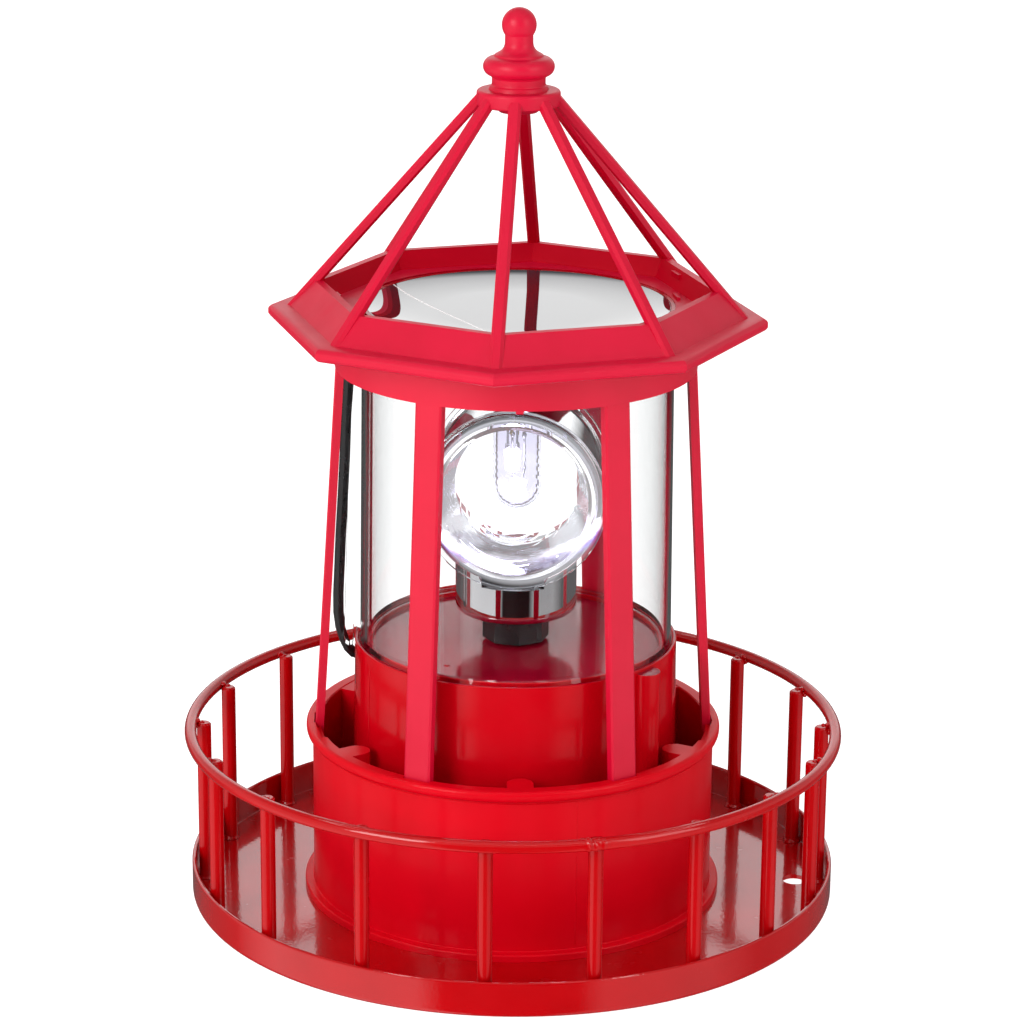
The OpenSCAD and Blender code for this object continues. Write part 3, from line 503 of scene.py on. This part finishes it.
def seam():
    """The butt weld that closes the ring, ground down by hand."""
    bm = bmesh.new()
    n, m = 46, 28
    a0, a1 = 11.2, 16.1
    rows = []
    for i in range(n + 1):
        t = i / n
        az = math.radians(a0 + (a1 - a0) * t)
        d = (a0 + (a1 - a0) * t)
        swell = 0.42 * math.exp(-((d - 12.6) / 0.42) ** 2) + 0.2 * math.exp(-((d - 13.8) / 0.6) ** 2) + 0.16 * math.exp(-((d - 15.0) / 0.35) ** 2) - 0.03
        row = []
        for j in range(m):
            b = 2 * math.pi * j / m
            k = 1.5 + swell * (0.7 + 0.45 * math.sin(2 * b + 3 * d) + 0.25 * math.sin(5 * b + 7 * d))
            c = Vector((math.sin(az), -math.cos(az), 0))
            row.append(bm.verts.new((c * (RAIL_R + k * math.cos(b)) + Vector((0, 0, RAIL_Z + k * math.sin(b)))) * MM))
        rows.append(row)
    for p, q in zip(rows, rows[1:]):
        for j in range(m):
            bm.faces.new((p[j], q[j], q[(j + 1) % m], p[(j + 1) % m]))
    bm.faces.new(rows[0])
    bm.faces.new(rows[-1])
    blob(bm, on(11.6, RAIL_R - 0.4, RAIL_Z + 1.45), (0.7, 0.35, 0.25), 2.2, turn=30)
    blob(bm, on(13.2, RAIL_R + 0.9, RAIL_Z + 1.1), (0.55, 0.4, 0.3), 5.2, turn=-20)
    piece("ring_seam", bm, "red_wire")


def strip(bm, az, r0, r1, z0, z1, width, proud, centre=0.0):
    """Thin mould line up a slightly coned wall."""
    n = 24
    rows = []
    for i in range(n + 1):
        t = i / n
        z = z0 + (z1 - z0) * t
        r = r0 + (r1 - r0) * t
        end = min(1.0, 6 * t, 6 * (1 - t))
        row = []
        for x, y in ((-width / 2, -0.12), (-width * 0.25, proud * end), (width * 0.25, proud * end), (width / 2, -0.12)):
            p = on(az + math.degrees(x / r), r + y, z)
            row.append(bm.verts.new(p + Vector((centre * MM, 0, 0))))
        rows.append(row)
    for p, q in zip(rows, rows[1:]):
        for j in range(4):
            bm.faces.new((p[j], q[j], q[(j + 1) % 4], p[(j + 1) % 4]))
    bm.faces.new(rows[0])
    bm.faces.new(rows[-1])


def mould_lines():
    bm = bmesh.new()
    for az in (18.0, 198.0):
        strip(bm, az, 50.5, 50.5, 3.8, 41.0, 0.36, 0.05)
    piece("drum_mould_lines", bm, "red_satin")
    bm = bmesh.new()
    for az in (-63, 117):
        strip(bm, az, 41.13, 40.36, 8, 64, 0.34, 0.05, LAMP_X)
    piece("housing_mould_lines", bm, "red_gloss")


def resin():
    """Poured resin over the cell: flat in the middle, drawn up the cap's edge."""
    bm = bmesh.new()
    prof = [(0, 150.63)]
    for r in (6, 12, 17, 20, 21, 22.5, 24, 25.5, 27, 28.5, 30, 31.5, 33, 34.5, 35.6, 36.4, 36.9, 37.1):
        prof.append((r, 150.63 + 0.0044 * max(0, r - 20) ** 2))
    prof += [(37.1, 150.3), (0, 150.3)]
    lathe(bm, prof, 160, (LAMP_X, 0))
    piece("panel_resin", bm, "resin")


def gate_marks():
    """Sprue remains and small raised marks under the deck."""
    bm = bmesh.new()
    blob(bm, on(-38, 27, 66.22) + Vector((LAMP_X * MM, 0, 0)), (0.7, 0.5, 0.16), 1.2)
    blob(bm, on(24, 31, 66.22) + Vector((LAMP_X * MM, 0, 0)), (0.35, 0.35, 0.16), 2.2)
    blob(bm, on(31, 30, 66.22) + Vector((LAMP_X * MM, 0, 0)), (0.3, 0.25, 0.14), 3.2)
    piece("deck_marks", bm, "red_gloss")


def solder_joints():
    """Solder and crimps where the lamps' legs end."""
    bm = bmesh.new()
    for x, y, z in ((-2.4, 0, 116.2), (0.1, 0, 116.4), (-1.15, 3.0, 118.4), (1.75, 3.0, 118.2)):
        blob(bm, Vector((x + LAMP_X, y, z)) * MM, (0.55, 0.5, 0.8), x + z)
    piece("leg_solder", bm, "bright")


def capsule_wires():
    """Two thin sheathed wires that drop into the capsule's mouth to the lamps' legs."""
    bm = bmesh.new()
    for pts, rad in ((((3.4, 1.0, 135), (3.2, 0.8, 130), (2.7, 0.4, 126.6), (1.3, 0.0, 124.2), (-0.6, -0.5, 121.6), (-1.7, -0.7, 119.4)), 0.34),
                     (((2.2, 1.6, 135), (2.0, 1.4, 129), (1.2, 0.9, 125), (0.4, 0.5, 121.8), (0.1, 0.3, 118.9)), 0.28)):
        fine = []
        for i in range(len(pts) - 1):
            a, b, c, d = (Vector(pts[max(0, min(len(pts) - 1, i + k))]) for k in (-1, 0, 1, 2))
            for k in range(6):
                t = k / 6
                fine.append(0.5 * (2 * b + (c - a) * t + (2 * a - 5 * b + 4 * c - d) * t * t + (3 * b - a - 3 * c + d) * t ** 3))
        fine.append(Vector(pts[-1]))
        rows = []
        for i, q in enumerate(fine):
            t = (fine[min(i + 1, len(fine) - 1)] - fine[max(i - 1, 0)]).normalized()
            u = t.cross(Vector((0, 1, 0))).normalized()
            w = t.cross(u)
            rows.append([bm.verts.new((q + Vector((LAMP_X, 0, 0)) + rad * (u * math.cos(a) + w * math.sin(a))) * MM) for a in [2 * math.pi * k / 12 for k in range(12)]])
        for p, q in zip(rows, rows[1:]):
            for k in range(12):
                bm.faces.new((p[k], q[k], q[(k + 1) % 12], p[(k + 1) % 12]))
        bm.faces.new(rows[0])
        bm.faces.new(rows[-1])
    piece("capsule_wires", bm, "wire")


def reflector_rims():
    """Fine stepped bead round each end of the barrel, where the lens is seated."""
    for nm, s in (("front_rim_bead", -1), ("rear_rim_bead", 1)):
        bm = bmesh.new()
        prof = [(21.32, 11.6), (21.62, 11.75), (21.75, 12.05), (21.62, 12.35), (21.32, 12.5), (21.2, 12.05)]
        n = 120
        rows = []
        t = math.radians(-3.5)
        for r, y in prof:
            row = []
            for i in range(n):
                a = 2 * math.pi * i / n
                x0, y0, z0 = r * math.cos(a), s * y, 106.2 + r * math.sin(a)
                row.append(bm.verts.new(Vector((LAMP_X + x0 * math.cos(t) - y0 * math.sin(t), x0 * math.sin(t) + y0 * math.cos(t), z0)) * MM))
            rows.append(row)
        for p, q in zip(rows, rows[1:] + rows[:1]):
            for i in range(n):
                bm.faces.new((p[i], q[i], q[(i + 1) % n], p[(i + 1) % n]))
        piece(nm, bm, "chrome", body="lens_rotor")


def resin_look():
    n = Nodes("panel_resin")
    x, y, z = n.xyz()
    # dark cell under the resin, and one long hairline across it
    grain = n.span(n.noise(900, 2, 0.7), 0.35, 0.7, 0.0, 1.0)
    cell = n.mix(grain, (0.020, 0.022, 0.032), (0.034, 0.036, 0.050))
    d = n.math("ADD", n.math("MULTIPLY", x, 0.8727), n.math("ADD", n.math("MULTIPLY", y, 0.488), 0.01718))
    wob = n.math("MULTIPLY", n.math("SUBTRACT", n.noise(60, 2, 0.5), 0.5), 0.0006)
    line = n.span(n.math("ABSOLUTE", n.math("ADD", d, wob)), 0.00016, 0.00036, 1.0, 0.0)
    color = n.mix(line, cell, (0.95, 0.94, 0.94))
    # the skin turns up a little more just inside the cap's rim
    xx = n.math("SUBTRACT", x, LAMP_X * MM)
    r = n.math("SQRT", n.math("ADD", n.math("MULTIPLY", xx, xx), n.math("MULTIPLY", y, y)))
    edge_rise = n.math("MULTIPLY", n.math("POWER", n.math("MAXIMUM", n.math("SUBTRACT", r, 0.028), 0.0), 3.0), 450.0)
    wave = n.bump(n.noise(30, 2, 0.4), 0.05, 0.0008, n.bump(edge_rise, 1.0, 1.0))
    rough = n.span(line, 0, 1, 0.015, 0.5)
    p = n.principled(color, rough, Specular_IOR_Level=0.6, IOR=1.7, Coat_Weight=1.0, Coat_Roughness=0.01, Coat_IOR=1.57, Normal=wave)
    n.link(wave, p.inputs["Coat Normal"])
    return n.done(p)


M["resin"] = resin_look()
welds()
seam()
mould_lines()
resin()
gate_marks()
solder_joints()
capsule_wires()
reflector_rims()


# ---------------------------------------------------------------- stage and light
def stage():
    bm = bmesh.new()
    bmesh.ops.create_circle(bm, cap_ends=True, radius=6, segments=96)
    me = bpy.data.meshes.new("floor")
    bm.to_mesh(me)
    bm.free()
    floor = bpy.data.objects.new("floor", me)
    floor.location.z = -0.0002
    floor.visible_glossy = False
    COL.objects.link(floor)
    n = Nodes("floor")
    p = n.principled((0.45, 0.45, 0.452), 0.9, Specular_IOR_Level=0.0)
    p.inputs["Emission Color"].default_value = (1, 1, 1, 1)
    p.inputs["Emission Strength"].default_value = FLOOR_GLOW
    lp = n.add("ShaderNodeLightPath")
    gone = n.add("ShaderNodeBsdfTransparent")
    m = n.add("ShaderNodeMixShader")
    # seen from below the floor is clear, so the underside can be looked at
    g = n.add("ShaderNodeNewGeometry")
    n.link(n.math("MAXIMUM", n.math("GREATER_THAN", lp.outputs["Glossy Depth"], 0.5), g.outputs["Backfacing"]), m.inputs[0])
    n.link(p.outputs[0], m.inputs[1])
    n.link(gone.outputs[0], m.inputs[2])
    me.materials.append(n.done(m))


def studio():
    """White tent: bright sides and back, a darker front with the gap the camera looks through."""
    w = bpy.data.worlds.new("studio")
    bpy.context.scene.world = w
    n = Nodes("studio", w)
    s = n.add("ShaderNodeSeparateXYZ")
    n.link(n.tc.outputs["Generated"], s.inputs[0])
    x, y, z = s.outputs
    az = n.math("ARCTAN2", x, n.math("MULTIPLY", y, -1.0))
    away = n.math("ABSOLUTE", az)
    # sides and back: dim below the table's edge, bright above it, dimmer again overhead
    under = n.fade(n.span(az, -0.1, 0.1, 0.0, 1.0), n.span(az, -2.0, -1.6, W_BELOW, W_LEFT), n.span(az, 1.3, 1.7, W_RIGHT, W_BELOW))
    side = n.math("MULTIPLY", n.fade(n.span(z, -0.02, 0.10, 0.0, 1.0), under, W_SIDE), n.span(z, 0.50, 0.72, 1.0, W_TOP / W_SIDE))
    back = n.math("MULTIPLY", n.fade(n.span(z, -0.02, 0.10, 0.0, 1.0), under, W_BACK), n.span(z, 0.50, 0.62, 1.0, W_TOP / W_BACK))
    v = n.fade(n.span(away, 2.6, 2.8, 0.0, 1.0), side, back)
    low = n.span(z, 0.26, 0.46, 1.0, 0.0)
    dark = n.math("MULTIPLY", n.span(away, W_GAP, W_GAP + 0.16, 1.0, 0.0), low)
    glow = n.span(n.math("ABSOLUTE", n.math("SUBTRACT", az, 0.02)), 0.04, 0.12, 0.05, 0.0)
    v = n.math("MULTIPLY", v, n.span(dark, 0, 1, 1.0, W_DARK))
    v = n.math("ADD", v, n.math("MULTIPLY", glow, n.math("MULTIPLY", low, n.span(z, -0.25, 0.0, 0.0, 1.0))))
    # a thin bright hoop high overhead draws fine lines along the wires and rolled edges
    hoop = n.span(n.math("ABSOLUTE", n.math("SUBTRACT", z, 0.845)), 0.010, 0.018, 3.6, 0.0)
    v = n.math("ADD", v, hoop)
    bg = n.add("ShaderNodeBackground")
    bg.inputs["Color"].default_value = (1, 1, 1, 1)
    n.link(v, bg.inputs["Strength"])
    n.done(bg)


def softbox(name, azimuth, elevation, distance, size, power, target=(0, 0, 0.1), seen=True):
    data = bpy.data.lights.new(name, "AREA")
    data.shape = "RECTANGLE"
    data.size, data.size_y = size
    data.energy = power
    o = bpy.data.objects.new(name, data)
    a, e = math.radians(azimuth), math.radians(elevation)
    d = Vector((math.sin(a) * math.cos(e), -math.cos(a) * math.cos(e), math.sin(e)))
    o.location = Vector(target) + d * distance
    o.rotation_mode = "QUATERNION"
    o.rotation_quaternion = (-d).to_track_quat("-Z", "Y")
    o.visible_glossy = seen
    COL.objects.link(o)
    return o


FLOOR_GLOW = 0.98
W_SIDE, W_BACK, W_TOP, W_DARK, W_GAP = 0.60, 1.38, 0.20, 0.015, 0.42
W_BELOW, W_LEFT, W_RIGHT = 0.10, 0.80, 0.42
stage()
studio()
softbox("left", -42, 21, 0.9, (0.40, 0.45), 4.5, target=(0, 0, 0.16))
softbox("right", 52, 24, 1.0, (0.45, 0.6), 2.2, target=(0, 0, 0.12))
softbox("fill", -18, 5, 1.4, (0.6, 0.3), 1.7, target=(0, 0, 0.03), seen=False)
softbox("over", 0, 82, 1.2, (0.9, 0.9), 1.2)
vs = bpy.context.scene.view_settings
vs.view_transform = "Standard"
vs.look = "None"
vs.exposure = 0
